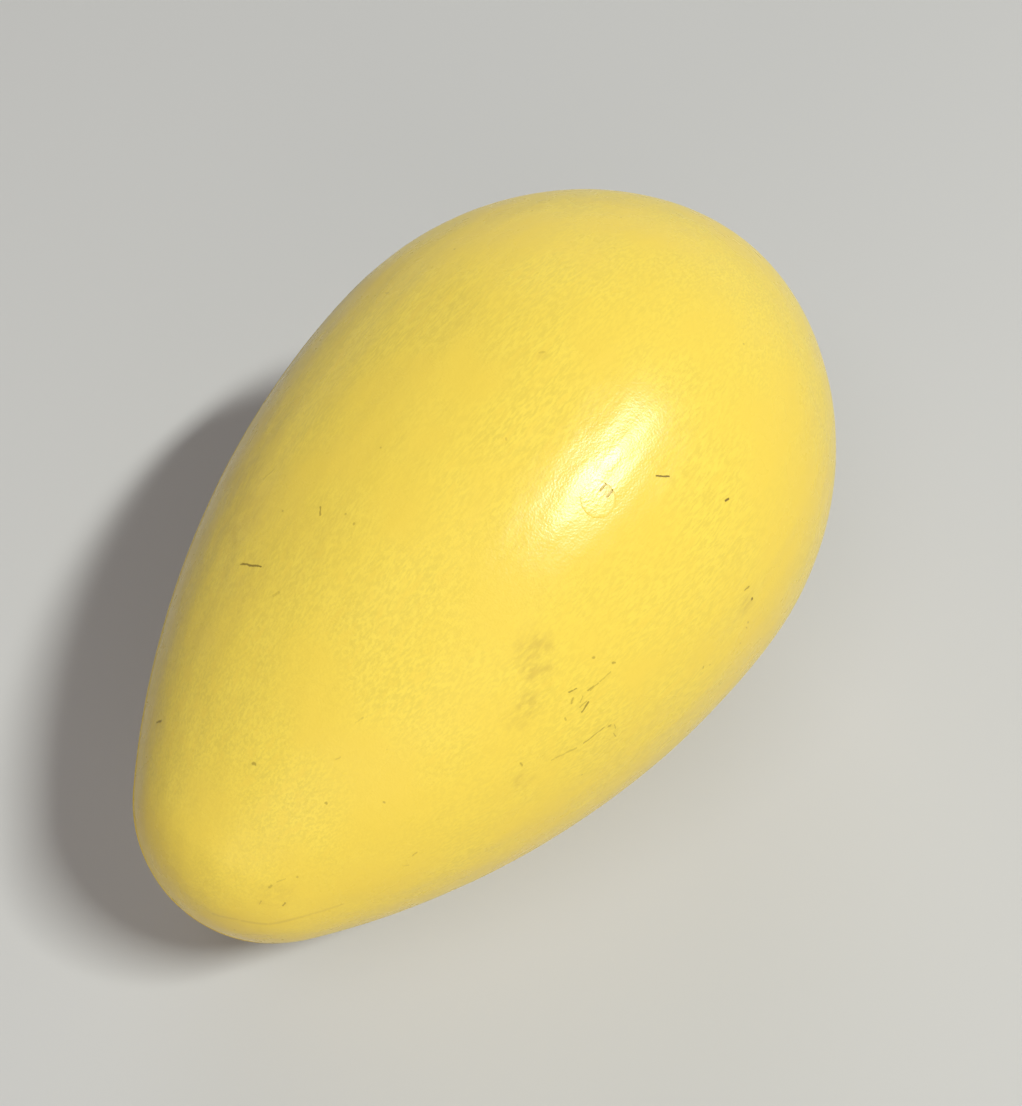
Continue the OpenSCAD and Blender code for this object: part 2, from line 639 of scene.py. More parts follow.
@dataclass(frozen=True)
class MouldedShell:
    """The hollow shell, moulded in one piece, with a fine parting line and the seat of the plug.

    Attributes:
        form: Outline of the egg.
        plug: Sizes of the plug; the parting line lies a quarter turn to each side of it.
        step: Length of a face of the outer skin along the outline.
        columns: Number of columns of faces from one side of the parting line to the other.
        inner_coarseness: How many times larger the faces of the inner skin are.
        hole_steps: Number of steps round the plug's hole.
        parting_height: Height of the parting line.
        parting_width: Width of the parting line at the widest circle.
        calm: Distances from the plug within which the waves start and are whole.
        waves: Waves in the outer skin.
        sharp: Bend above which an edge stays sharp, in degrees.
    """

    form: EggForm
    plug: PlugForm
    step: float = 2.4 * MM
    columns: int = 124
    inner_coarseness: int = 3
    hole_steps: int = 128
    parting_height: float = 0.2 * MM
    parting_width: float = 1.2 * MM
    calm: tuple[float, float] = (7 * MM, 20 * MM)
    waves: tuple[Unevenness, ...] = (
        Unevenness("slow_waves", 0.5 * MM, 70 * MM),
        Unevenness("short_waves", 0.12 * MM, 17 * MM),
    )
    sharp: float = 35.0

    def skin(self, name: str, inset: float, coarse: int) -> Piece:
        """Builds a closed skin: its outline is spun arc by arc, then about the long axis.

        Args:
            name: Name of the piece.
            inset: Distance that the skin lies inside the surface of the egg.
            coarse: How many times larger its faces are.

        Returns:
            The skin, in object mode.
        """
        pin = across(self.plug.turn)
        out = across(self.plug.turn - 90)
        piece = lone_vertex(name, LONG_AXIS * (self.form.length - inset))
        for arc in self.form.arcs():
            centre = LONG_AXIS * arc.along + out * arc.off
            steps = math.ceil(arc.length / (self.step * coarse))
            spin(steps, arc.end - arc.start, centre, pin)
        bpy.ops.mesh.select_all(action="SELECT")
        edge = self.parting_width / 2 / self.form.radius
        half = [(1, edge), (self.columns // coarse, math.pi - 2 * edge), (1, edge)]
        for steps, angle in half + half:
            spin(steps, angle, ORIGIN, LONG_AXIS)
        close_and_orient()
        leave_edit()
        return piece

    def raise_parting_line(self, skin: Piece) -> None:
        """Lifts the vertices between the two halves of the mould.

        Args:
            skin: The outer skin.
        """
        edit(skin)
        pin = across(self.plug.turn)
        count = pick_vertices(skin, lambda place: abs(place.dot(pin)) < HAIR)
        bpy.ops.transform.shrink_fatten(value=self.parting_height)
        leave_edit()
        log.info("parting line: %d vertices", count)

    def wave(self, skin: Piece) -> None:
        """Moves the outer skin in and out by the waves, except round the plug.

        Args:
            skin: The outer skin.
        """
        middle = self.plug.seat(self.form).translation
        start, whole = self.calm
        free = skin.vertex_groups.new(name="free")
        for vertex in skin.data.vertices:
            share = ((vertex.co - middle).length - start) / (whole - start)
            free.add([vertex.index], min(max(share, 0.0), 1.0), "REPLACE")
        for waves in self.waves:
            texture = bpy.data.textures.new(waves.name, "CLOUDS")
            texture.noise_scale = waves.length
            apply_modifier(
                skin,
                "DISPLACE",
                texture=texture,
                texture_coords="LOCAL",
                strength=waves.depth,
                mid_level=0.5,
                vertex_group="free",
            )
        skin.vertex_groups.clear()

    def hole_cutter(self) -> Piece:
        """Makes the solid that cuts the hole and the seat of the plug.

        Returns:
            The cutter, in the ball's own axes.
        """
        cutter = turned("hole_cutter", self.plug.hole_outline(self.form.wall), self.hole_steps)
        bake_place(cutter, self.plug.seat(self.form))
        return cutter

    def build(self) -> Piece:
        """Builds the shell.

        Returns:
            The shell, with the ball at rest.
        """
        shell = self.skin("shell_moulding", 0.0, 1)
        self.raise_parting_line(shell)
        self.wave(shell)
        inside = self.skin("shell_inside", self.form.wall, self.inner_coarseness)
        edit(inside)
        bpy.ops.mesh.select_all(action="SELECT")
        bpy.ops.mesh.flip_normals()
        leave_edit()
        hold(shell)
        inside.select_set(True)
        bpy.ops.object.join()
        carve(shell, self.hole_cutter())
        bake_place(shell, self.form.to_rest())
        smooth(shell, self.sharp)
        return shell

    def dress(self, shell: Piece, material: Material) -> None:
        """Gives the shell its finish and its place among the bodies.

        Args:
            shell: The shell.
            material: Its material.
        """
        coat(shell, material)
        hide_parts("ball_shell")
        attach(shell, "shell")
        report(shell)


# --- Shader workbench --------------------------------------------------------

# A pattern is squeezed to this share along the long axis, where it is to be drawn out along it
DRAWN_OUT = 0.3


@dataclass(frozen=True)
class Bench:
    """A node tree under construction.

    Attributes:
        tree: The node tree.
    """

    tree: bpy.types.NodeTree

    def feed(self, socket: Socket, value: object) -> None:
        """Links a socket, or sets its own value.

        Args:
            socket: The socket.
            value: Another socket to link, or a plain value.
        """
        if isinstance(value, Socket):
            self.tree.links.new(value, socket)
        else:
            socket.default_value = value

    def add(
        self, kind: str, inputs: dict[str, object] | None = None, **settings: object
    ) -> bpy.types.Node:
        """Adds a node.

        Args:
            kind: Type of the node.
            inputs: Sockets or values for its inputs, by name.
            **settings: Values for the node's properties.

        Returns:
            The node.
        """
        node = self.tree.nodes.new(kind)
        for key, value in settings.items():
            setattr(node, key, value)
        for name, value in (inputs or {}).items():
            self.feed(node.inputs[name], value)
        return node

    def end(self, kind: str, value: Socket) -> None:
        """Feeds a value to the first input of an output node of some kind."""
        self.feed(self.add(kind).inputs[0], value)

    def math(self, operation: str, *values: object) -> Socket:
        """Adds a Math node.

        Args:
            operation: Its operation.
            *values: Sockets or numbers for its inputs, in order.

        Returns:
            Its output.
        """
        node = self.add("ShaderNodeMath", operation=operation)
        for socket, value in zip(node.inputs, values):
            self.feed(socket, value)
        return node.outputs[0]

    def vector(self, operation: str, first: object, second: object) -> Socket:
        """Adds a Vector Math node.

        Args:
            operation: Its operation.
            first: Socket or vector for its first input.
            second: Socket or vector for its second input.

        Returns:
            Its output, a number for a distance or a dot product, and a vector otherwise.
        """
        node = self.add("ShaderNodeVectorMath", operation=operation)
        self.feed(node.inputs[0], first)
        self.feed(node.inputs[1], second)
        return node.outputs["Value" if operation in ("DISTANCE", "DOT_PRODUCT") else "Vector"]

    def scaled(self, place: Socket, scale: object) -> Socket:
        """Scales a vector by a socket or a number."""
        inputs = {"Vector": place, "Scale": scale}
        return self.add("ShaderNodeVectorMath", inputs, operation="SCALE").outputs["Vector"]

    def drawn_out(self, place: Socket) -> Socket:
        """Squeezes a place along the long axis, which draws out a pattern that is read there."""
        return self.vector("MULTIPLY", place, (DRAWN_OUT, 1.0, 1.0))

    def ease(
        self, value: object, low: float, high: float, start: float = 0.0, end: float = 1.0
    ) -> Socket:
        """Eases from one level to another, as a value goes from low to high.

        Args:
            value: Socket with the value.
            low: Value that gives the start level.
            high: Value that gives the end level.
            start: The start level.
            end: The end level.

        Returns:
            The level.
        """
        inputs = {"Value": value, "From Min": low, "From Max": high, "To Min": start, "To Max": end}
        node = self.add("ShaderNodeMapRange", inputs, interpolation_type="SMOOTHSTEP")
        return node.outputs["Result"]

    def noise(self, place: Socket, size: float, detail: float) -> Socket:
        """Reads soft noise, about 0.5 on average, with cells of a size and some finer layers."""
        inputs = {"Vector": place, "Scale": 1 / size, "Detail": detail}
        return self.add("ShaderNodeTexNoise", inputs).outputs[0]

    def mix(self, share: object, first: object, second: object) -> Socket:
        """Mixes two colours.

        Args:
            share: Socket with the share of the second colour.
            first: Socket or colour.
            second: Socket or colour.

        Returns:
            The mixed colour.
        """
        node = self.add("ShaderNodeMix", {"Factor": share}, data_type="RGBA")
        colours = [socket for socket in node.inputs if socket.type == "RGBA"]
        self.feed(colours[0], first)
        self.feed(colours[1], second)
        return next(socket for socket in node.outputs if socket.type == "RGBA")

    def use(self, group: str, inputs: dict[str, object]) -> Socket:
        """Places a node group, fed by the names of its inputs, and gives its output."""
        return self.add("ShaderNodeGroup", inputs, node_tree=bpy.data.node_groups[group]).outputs[0]


def cleared_bench(block: Material | bpy.types.World) -> Bench:
    """Clears the node tree of a material or world.

    Args:
        block: The material or world.

    Returns:
        The bench of its tree.
    """
    block.use_nodes = True
    block.node_tree.nodes.clear()
    return Bench(block.node_tree)


@dataclass(frozen=True)
class Blotches:
    """Soft noise, eased from one level to another.

    Attributes:
        size: Size of its cells.
        detail: How many finer layers it has.
        low: Value of the noise that gives the start level.
        high: Value of the noise that gives the end level.
        start: The start level.
        end: The end level.
    """

    size: float
    detail: float
    low: float
    high: float
    start: float = 0.0
    end: float = 1.0

    def read(self, bench: Bench, place: Socket) -> Socket:
        """Reads the blotches at a place."""
        value = bench.noise(place, self.size, self.detail)
        return bench.ease(value, self.low, self.high, self.start, self.end)


# Sizes of the layers of the grain, as multiples of its period, and how many finer layers each has
PITS = 0.45
PEEL = 2.6
STREAKS = 0.8
SWELL = 6.3
GRAIN_DETAIL = 1.0

# Distances from the middle of a mark, as multiples of its radius, at which it fades in and is whole
STROKE_EDGE = (1.3, 0.5)
SPOT_EDGE = (1.2, 0.5)
PATCH_EDGE = (1.0, 0.3)

# Size of the rags at a patch's edge, their finer layers, and how much of its radius they take in
RAG_SIZE = 5 * MM
RAG_DETAIL = 3.0
RAG_REACH = 1.2

PATCH_HOLES = Blotches(1.8 * MM, 3.0, 0.35, 0.62, start=0.15)


def group_bench(
    name: str, vectors: Iterable[str], numbers: Iterable[str], output: str
) -> tuple[Bench, dict[str, Socket]]:
    """Starts a node group.

    Args:
        name: Name of the group.
        vectors: Names of the inputs that are vectors.
        numbers: Names of the inputs that are numbers.
        output: Name of the one output, a number.

    Returns:
        The bench of the group, and its inputs by name.
    """
    tree = bpy.data.node_groups.new(name, "ShaderNodeTree")
    kinds = dict.fromkeys(vectors, "NodeSocketVector") | dict.fromkeys(numbers, "NodeSocketFloat")
    for socket_name, kind in kinds.items():
        tree.interface.new_socket(name=socket_name, in_out="INPUT", socket_type=kind)
    tree.interface.new_socket(name=output, in_out="OUTPUT", socket_type="NodeSocketFloat")
    bench = Bench(tree)
    entry = bench.add("NodeGroupInput")
    return bench, {socket_name: entry.outputs[socket_name] for socket_name in kinds}


def grain_group() -> None:
    """Builds the fine unevenness of a moulded surface, in part drawn out, as a height."""
    numbers = ("Period", "Streaks", "Swell")
    bench, given = group_bench("moulded_grain", ("Place",), numbers, "Height")
    place = bench.scaled(given["Place"], bench.math("DIVIDE", 1.0, given["Period"]))
    drawn = bench.drawn_out(place)
    layers = [(place, PITS), (place, PEEL), (drawn, STREAKS), (drawn, SWELL)]
    pits, peel, streaks, swell = (bench.noise(spot, size, GRAIN_DETAIL) for spot, size in layers)
    height = bench.math("ADD", peel, pits)
    height = bench.math("MULTIPLY_ADD", streaks, given["Streaks"], height)
    height = bench.math("MULTIPLY_ADD", swell, given["Swell"], height)
    bench.end("NodeGroupOutput", height)


def stroke_group() -> None:
    """Builds a straight stroke with round ends, as the larger of its mask and the one before it."""
    vectors = ("Place", "Middle", "Heading")
    numbers = ("Half Length", "Half Width", "Weight", "Before")
    bench, given = group_bench("stroke", vectors, numbers, "Mask")
    offset = bench.vector("SUBTRACT", given["Place"], given["Middle"])
    run = bench.vector("DOT_PRODUCT", offset, given["Heading"])
    back = bench.math("MULTIPLY", given["Half Length"], -1.0)
    held = bench.math("MAXIMUM", bench.math("MINIMUM", run, given["Half Length"]), back)
    distance = bench.vector("DISTANCE", offset, bench.scaled(given["Heading"], held))
    share = bench.math("DIVIDE", distance, given["Half Width"])
    mask = bench.math("MULTIPLY", bench.ease(share, *STROKE_EDGE), given["Weight"])
    bench.end("NodeGroupOutput", bench.math("MAXIMUM", mask, given["Before"]))


def patch_group() -> None:
    """Builds a ragged, broken patch, as the larger of its mask and the one before it."""
    numbers = ("Radius", "Weight", "Before")
    bench, given = group_bench("patch", ("Place", "Middle"), numbers, "Mask")
    offset = bench.vector("DISTANCE", given["Place"], given["Middle"])
    share = bench.math("DIVIDE", offset, given["Radius"])
    inwards = bench.math("SUBTRACT", share, RAG_REACH / 2)
    rag = bench.noise(given["Place"], RAG_SIZE, RAG_DETAIL)
    ragged = bench.math("MULTIPLY_ADD", rag, RAG_REACH, inwards)
    holes = PATCH_HOLES.read(bench, bench.drawn_out(given["Place"]))
    mask = bench.math("MULTIPLY", bench.ease(ragged, *PATCH_EDGE), holes)
    weighted = bench.math("MULTIPLY", mask, given["Weight"])
    bench.end("NodeGroupOutput", bench.math("MAXIMUM", weighted, given["Before"]))


def scatter_group() -> None:
    """Builds scattered spots of many sizes, one in some of the cells of a grid, as a mask."""
    numbers = ("Spacing", "Radius", "Share")
    bench, given = group_bench("scattered_spots", ("Place",), numbers, "Mask")
    place = bench.scaled(given["Place"], bench.math("DIVIDE", 1.0, given["Spacing"]))
    cells = bench.add("ShaderNodeTexVoronoi", {"Vector": place, "Scale": 1.0}, feature="F1")
    distance = bench.math("MULTIPLY", cells.outputs["Distance"], given["Spacing"])
    inside = bench.ease(bench.math("DIVIDE", distance, given["Radius"]), *SPOT_EDGE)
    draw = bench.add("ShaderNodeSeparateColor", {"Color": cells.outputs["Color"]})
    chosen = bench.math("LESS_THAN", draw.outputs[0], given["Share"])
    bench.end("NodeGroupOutput", bench.math("MULTIPLY", inside, chosen))


# --- Wear --------------------------------------------------------------------


@dataclass(frozen=True)
class Stroke:
    """A straight nick or scratch in the surface.

    Attributes:
        along_mm: Place of its middle along the long axis.
        turn: Turn of its middle about the long axis.
        heading: Its direction, in degrees from the blunt end towards a growing turn.
        length_mm: Its length.
        width_mm: Its width.
        weight: How dark it is, from 0 to 1.
    """

    group: ClassVar[str] = "stroke"
    along_mm: float
    turn: float
    heading: float
    length_mm: float
    width_mm: float
    weight: float

    def inputs(self, form: EggForm) -> dict[str, object]:
        """Works out what the stroke's node group is fed.

        Args:
            form: Outline of the egg.

        Returns:
            Values by the names of the group's inputs.
        """
        axes = form.place(self.along_mm * MM, self.turn)
        angle = math.radians(self.heading)
        half_width = self.width_mm * MM / 2
        return {
            "Middle": axes.translation,
            "Heading": axes.to_3x3() @ Vector((math.cos(angle), -math.sin(angle), 0.0)),
            "Half Length": max(self.length_mm * MM / 2 - half_width, 0.0),
            "Half Width": half_width,
            "Weight": self.weight,
        }


@dataclass(frozen=True)
class Patch:
    """A ragged, broken patch on the surface.

    Attributes:
        along_mm: Place of its middle along the long axis.
        turn: Turn of its middle about the long axis.
        radius_mm: Its radius.
        weight: How strong it is, from 0 to 1.
    """

    group: ClassVar[str] = "patch"
    along_mm: float
    turn: float
    radius_mm: float
    weight: float

    def inputs(self, form: EggForm) -> dict[str, object]:
        """Values that the patch's node group is fed, by the names of its inputs."""
        middle = form.place(self.along_mm * MM, self.turn).translation
        return {"Middle": middle, "Radius": self.radius_mm * MM, "Weight": self.weight}


NICKS = (
    Stroke(87, -21, 76, 9.6, 0.7, 0.8),
    Stroke(110, -11, 145, 3.2, 0.65, 0.53),
    Stroke(181.7, 37.7, 45, 4.7, 0.6, 0.95),
    Stroke(193.2, 50.7, 20, 2, 0.85, 0.95),
    Stroke(184.5, -33.4, 92, 2.5, 0.91, 0.26),
    Stroke(183.1, 69.2, 19, 2.6, 0.7, 0.55),
    Stroke(183.4, 72.8, 86, 1.6, 0.9, 0.8),
    Stroke(178.9, 77.5, 74, 1.5, 0.7, 0.35),
    Stroke(177.7, 78.5, 69, 1.4, 0.7, 0.35),
    Stroke(157.1, 76.4, 127, 1.5, 0.65, 0.35),
    Stroke(42.4, 9.7, 60, 1.6, 1.04, 0.53),
    Stroke(37, -37.4, 73, 3.6, 0.9, 0.7),
    Stroke(47, 34.7, 82, 1.2, 0.91, 0.44),
    Stroke(58, 46, 70, 1.3, 0.78, 0.4),
    Stroke(158, 11.6, 116, 1.4, 0.78, 0.22),
    Stroke(187, 6.2, 43, 2.1, 0.78, 0.22),
    Stroke(113, -5.3, 30, 0.9, 0.91, 0.35),
    Stroke(112, -2.5, 60, 1, 0.91, 0.35),
)

SCRATCHES_BELOW_THE_PLUG = (
    Stroke(118, 55.2, 20, 3.1, 0.6, 0.62),
    Stroke(118, 60.5, -23, 4.4, 0.72, 0.67),
    Stroke(122.5, 57.8, 12, 2.6, 0.72, 0.49),
    Stroke(118.5, 58.3, -34, 2.6, 0.48, 0.36),
    Stroke(116, 57, -33, 2.6, 0.72, 0.36),
    Stroke(132.7, 57, 30, 1.5, 0.72, 0.49),
    Stroke(128.8, 52.8, 45, 0.9, 1.08, 0.43),
    Stroke(111.3, 59.6, 110, 1.8, 0.72, 0.36),
    Stroke(105, 67.3, 17, 9.5, 0.72, 0.27),
    Stroke(115.5, 68.5, 2, 8.5, 0.6, 0.43),
    Stroke(122.3, 70.7, 104, 2.3, 0.48, 0.36),
    Stroke(121, 72.7, 87, 2.4, 0.48, 0.36),
    Stroke(121, 69.3, 36, 1.5, 0.84, 0.43),
    Stroke(93.3, 61.8, 105, 2, 0.84, 0.43),
    Stroke(128.1, 58.1, 179, 4.9, 0.55, 0.25),
    Stroke(123.7, 58.1, 178, 3.5, 0.6, 0.35),
    Stroke(117.9, 59.6, 179, 3.1, 0.55, 0.35),
)

NICKS_AT_THE_NARROW_END = (
    Stroke(20, 46.7, -5, 1.7, 0.78, 0.35),
    Stroke(23.2, 47, 13, 3.5, 0.52, 0.22),
    Stroke(27, 50, -15, 1, 0.78, 0.31),
    Stroke(19, 59.3, -31, 2, 0.65, 0.53),
    Stroke(14.7, 52, -34, 2, 0.52, 0.31),
    Stroke(69.7, 25.4, 16, 3.3, 0.52, 0.22),
    Stroke(58.3, 28, 18, 2, 0.52, 0.22),
    Stroke(54.5, 67.6, -10, 2.4, 0.65, 0.31),
    Stroke(50.8, 70.5, 30, 2.2, 0.52, 0.22),
    Stroke(83.5, -10, 36, 3, 0.91, 0.22),
    Stroke(113.5, -30.5, 34, 5.5, 0.78, 0.18),
)

SCUFF_AT_THE_NARROW_TIP = (
    Stroke(5.5, 54.7, 31, 9.8, 1.1, 0.3),
    Stroke(9.7, 66, 32, 8.9, 1.3, 0.36),
    Stroke(15.7, 71.3, 7, 10.2, 1.3, 0.36),
    Stroke(25.3, 74.1, 8, 14.5, 1.1, 0.3),
)

SMUDGES = (
    Patch(117.5, 42, 8, 0.5),
    Patch(114, 45.5, 8, 0.5),
    Patch(106, 50.5, 7, 0.42),
    Patch(100, 51.5, 6, 0.25),
    Patch(91.3, 66.2, 4, 0.44),
    Patch(181, 73, 5, 0.38),
    Patch(186.5, 6.3, 3, 0.25),
    Patch(19, 53, 9, 0.2),
)

STAINS = (
    Patch(112, -40, 17, 0.3),
    Patch(99, -33, 16, 0.26),
    Patch(82, -20, 15, 0.2),
    Patch(100, -10, 18, 0.12),
    Patch(130, -42, 16, 0.2),
    Patch(183, -15, 18, 0.1),
)


# --- Finishes ----------------------------------------------------------------

# Dark olive brown: soil in nicks and specks, and painted shade in the plug's slots and round its
# head
GRIME_AND_SHADE: Colour = (0.17, 0.11, 0.015, 1.0)
OCHRE: Colour = (0.58, 0.43, 0.07, 1.0)

CLOUDS = Blotches(35 * MM, 4.0, 0.35, 0.7)
FRECKLES = Blotches(3 * MM, 3.0, 0.45, 0.75, end=0.8)
PORES = Blotches(0.8 * MM, 2.0, 0.35, 0.65)


@dataclass(frozen=True)
class Marks:
    """What lies on the plain plastic, and the shade painted on it, as sockets or plain numbers.

    Attributes:
        grime_and_shade: Mask of dark soil in nicks, and of painted shade with soil in the plug's
            slots and round its head.
        stain: Mask of ochre stains.
        hollow_mm: Depth of the nicks.
    """

    grime_and_shade: object = 0.0
    stain: object = 0.0
    hollow_mm: object = 0.0


@dataclass(frozen=True)
class MouldedPlastic:
    """Glossy yellow plastic with a fine orange-peel surface.

    Attributes:
        name: Name of the material.
        axes: Axes that the patterns follow.
        colour: Main colour.
        mottle: Colour that it drifts to in soft clouds.
        pore: Colour of its pores.
        roughness: Roughness of the clean surface.
        polished: How much smoother the surface is where it is least worn.
        worn: How much rougher it is where it is most worn.
        wear_size: Size of the worn places.
        grime_and_shade_roughness: How much rougher the dark soil and the painted shade are.
        diffuse_roughness: How flatly the colour scatters light.
        ior: Index of refraction.
        specular: Strength of the gloss, where 0.5 is that of clear plastic.
        grain_mm: Height of the orange peel.
        grain_period: Distance from bump to bump.
        streaks: Height of the fine streaks along the ball, as a multiple of the orange peel's.
        swell: Height of the broadest streaks, as such a multiple.
    """

    name: str
    axes: Matrix
    colour: Colour = (0.87, 0.705, 0.095, 1.0)
    mottle: Colour = (0.84, 0.655, 0.085, 1.0)
    pore: Colour = (0.77, 0.62, 0.084, 1.0)
    roughness: float = 0.28
    polished: float = 0.02
    worn: float = 0.04
    wear_size: float = 14 * MM
    grime_and_shade_roughness: float = 0.3
    diffuse_roughness: float = 0.2
    ior: float = 1.5
    specular: float = 0.38
    grain_mm: float = 0.05
    grain_period: float = 1.6 * MM
    streaks: float = 0.5
    swell: float = 9.0

    def marks(self, bench: Bench, place: Socket) -> Marks:
        """Adds the marks that lie on a piece, at a place in the pattern's axes."""
        return Marks()

    def tint(self, bench: Bench, place: Socket, marks: Marks) -> Socket:
        """Colours the plastic and what lies on it.

        Args:
            bench: The material's bench.
            place: Place in the pattern's axes.
            marks: Marks on the plain plastic.

        Returns:
            The colour.
        """
        drawn = bench.drawn_out(place)
        drift = bench.math("MAXIMUM", CLOUDS.read(bench, place), FRECKLES.read(bench, drawn))
        pored = bench.mix(PORES.read(bench, drawn), self.colour, self.pore)
        stained = bench.mix(marks.stain, bench.mix(drift, pored, self.mottle), OCHRE)
        # Dark soil, and on the plug painted shade in its recesses
        return bench.mix(marks.grime_and_shade, stained, GRIME_AND_SHADE)

    def bump(self, bench: Bench, place: Socket, marks: Marks) -> Socket:
        """Roughens the surface with the grain, and sinks the nicks in it.

        Args:
            bench: The material's bench.
            place: Place in the pattern's axes.
            marks: Marks on the plain plastic.

        Returns:
            The normal.
        """
        inputs = {
            "Place": place,
            "Period": self.grain_period,
            "Streaks": self.streaks,
            "Swell": self.swell,
        }
        bumps = bench.math("MULTIPLY", bench.use("moulded_grain", inputs), self.grain_mm)
        height = bench.math("SUBTRACT", bumps, marks.hollow_mm)
        bump = bench.add("ShaderNodeBump", {"Strength": 1.0, "Distance": MM, "Height": height})
        return bump.outputs["Normal"]

    def material(self) -> Material:
        """Builds the finish.

        Returns:
            The material.
        """
        material = bpy.data.materials.new(self.name)
        bench = cleared_bench(material)
        inputs = {
            "Vector": bench.add("ShaderNodeTexCoord").outputs["Object"],
            "Location": self.axes.translation,
            "Rotation": self.axes.to_euler(),
        }
        place = bench.add("ShaderNodeMapping", inputs, vector_type="TEXTURE").outputs["Vector"]
        marks = self.marks(bench, place)
        low = self.roughness - self.polished
        wear = Blotches(self.wear_size, 3.0, 0.35, 0.7, low, self.roughness + self.worn)
        worn = wear.read(bench, place)
        shader = bench.add(
            "ShaderNodeBsdfPrincipled",
            {
                "IOR": self.ior,
                "Diffuse Roughness": self.diffuse_roughness,
                "Specular IOR Level": self.specular,
                "Base Color": self.tint(bench, place, marks),
                "Roughness": bench.math("MULTIPLY_ADD", marks.grime_and_shade, self.grime_and_shade_roughness, worn),
                "Normal": self.bump(bench, place, marks),
            },
        )
        bench.end("ShaderNodeOutputMaterial", shader.outputs["BSDF"])
        return material


@dataclass(frozen=True)
class ShellPlastic(MouldedPlastic):
    """The shell's plastic, with nicks, scratches, smudges and stains from use outdoors.

    Attributes:
        form: Outline of the egg.
        wobble: How far the strokes stray from a straight line.
        wobble_size: Size of one such bend.
        speck_spacing: Distance from one small speck of soil to the next.
        speck_radius: Largest radius of a speck.
        speck_share: Share of the places that have a speck.
        speck_weight: How dark the specks are.
        nick_depth_mm: Depth of the darkest nicks.
    """

    form: EggForm = EggForm()
    wobble: float = 0.9 * MM
    wobble_size: float = 1.5 * MM
    speck_spacing: float = 13 * MM
    speck_radius: float = 0.45 * MM
    speck_share: float = 0.6
    speck_weight: float = 0.35
    nick_depth_mm: float = 0.06

    def layered(self, bench: Bench, place: Socket, marks: Iterable[Stroke | Patch]) -> Socket:
        """Lays marks one over another.

        Args:
            bench: The material's bench.
            place: Place in the ball's own axes.
            marks: The marks.

        Returns:
            Their mask.
        """
        mask = 0.0
        for mark in marks:
            mask = bench.use(mark.group, {"Place": place, "Before": mask} | mark.inputs(self.form))
        return mask

    def marks(self, bench: Bench, place: Socket) -> Marks:
        """Adds the marks that lie on the shell.

        Args:
            bench: The material's bench.
            place: Place in the ball's own axes.

        Returns:
            The marks.
        """
        bends = bench.add("ShaderNodeTexNoise", {"Vector": place, "Scale": 1 / self.wobble_size})
        centred = bench.vector("SUBTRACT", bends.outputs["Color"], (0.5, 0.5, 0.5))
        shaken = bench.vector("ADD", place, bench.scaled(centred, self.wobble))
        strokes = NICKS + SCRATCHES_BELOW_THE_PLUG + NICKS_AT_THE_NARROW_END
        nicks = self.layered(bench, shaken, strokes)
        inputs = {
            "Place": place,
            "Spacing": self.speck_spacing,
            "Radius": self.speck_radius,
            "Share": self.speck_share,
        }
        specks = bench.use("scattered_spots", inputs)
        grime_and_shade = bench.math("MULTIPLY_ADD", specks, self.speck_weight, nicks)
        patches = self.layered(bench, place, STAINS + SMUDGES)
        scuff = self.layered(bench, shaken, SCUFF_AT_THE_NARROW_TIP)
        return Marks(
            grime_and_shade=bench.math("MINIMUM", grime_and_shade, 1.0),
            stain=bench.math("MAXIMUM", patches, scuff),
            hollow_mm=bench.math("MULTIPLY", nicks, self.nick_depth_mm),
        )


@dataclass(frozen=True)
class PlugPlastic(MouldedPlastic):
    """The plug's plastic, with painted shade and soil darker with depth in the slots and under the
    rim, and a rubbed place between.

    Attributes:
        plug: Sizes of the plug.
        shade_and_dirt: How the painted shade and soil thicken and thin.
        shade_and_dirt_depth: Depths below the face at which the painted shade and soil start and
            are whole.
        shade_onset_height: Height above the seat over which the painted shade and soil set in.
        rubbed: How dark the rubbed place is.
        rubbed_start: Distance along the slots over which it sets in.
        rubbed_fade: Half the distance across the slots over which it fades.
    """

    plug: PlugForm = PlugForm()
    shade_and_dirt: Blotches = Blotches(1.2 * MM, 2.0, 0.3, 0.6, 0.35, 0.55)
    shade_and_dirt_depth: tuple[float, float] = (0.1 * MM, 0.5 * MM)
    shade_onset_height: float = 0.2 * MM
    rubbed: float = 0.15
    rubbed_start: float = 0.4 * MM
    rubbed_fade: float = 0.25 * MM

    def marks(self, bench: Bench, place: Socket) -> Marks:
        """Adds the marks that lie on the plug, and the shade painted in its recesses.

        Args:
            bench: The material's bench.
            place: Place in the axes of the plug's seat.

        Returns:
            The marks.
        """
        x, y, z = bench.add("ShaderNodeSeparateXYZ", {"Vector": place}).outputs
        # Painted shade, with some soil: darker with depth below the face, in the slots and in the
        # gap round the head
        shallow, deep = (self.plug.head_height - depth for depth in self.shade_and_dirt_depth)
        above_seat = bench.ease(z, 0.0, self.shade_onset_height)
        sunk = bench.math("MULTIPLY", bench.ease(z, shallow, deep), above_seat)
        shade_and_dirt = bench.math("MULTIPLY", sunk, self.shade_and_dirt.read(bench, place))

        start, half_pitch = self.plug.slot_start, self.plug.slot_pitch / 2
        beyond = bench.ease(x, start, start + self.rubbed_start)
        sideways = bench.math("ABSOLUTE", y)
        between = bench.ease(sideways, half_pitch + self.rubbed_fade, half_pitch - self.rubbed_fade)
        rubbed = bench.math("MULTIPLY", bench.math("MULTIPLY", beyond, between), self.rubbed)
        return Marks(grime_and_shade=bench.math("MAXIMUM", shade_and_dirt, rubbed))


# --- Studio ------------------------------------------------------------------


def pointing(heading: float, rise: float) -> Vector:
    """Finds a direction from its compass angles.

    Args:
        heading: Angle from +X towards +Y, in degrees.
        rise: Angle above the ground, in degrees.

    Returns:
        A unit vector.
    """
    level = math.cos(math.radians(rise))
    turn = math.radians(heading)
    return Vector((level * math.cos(turn), level * math.sin(turn), math.sin(math.radians(rise))))


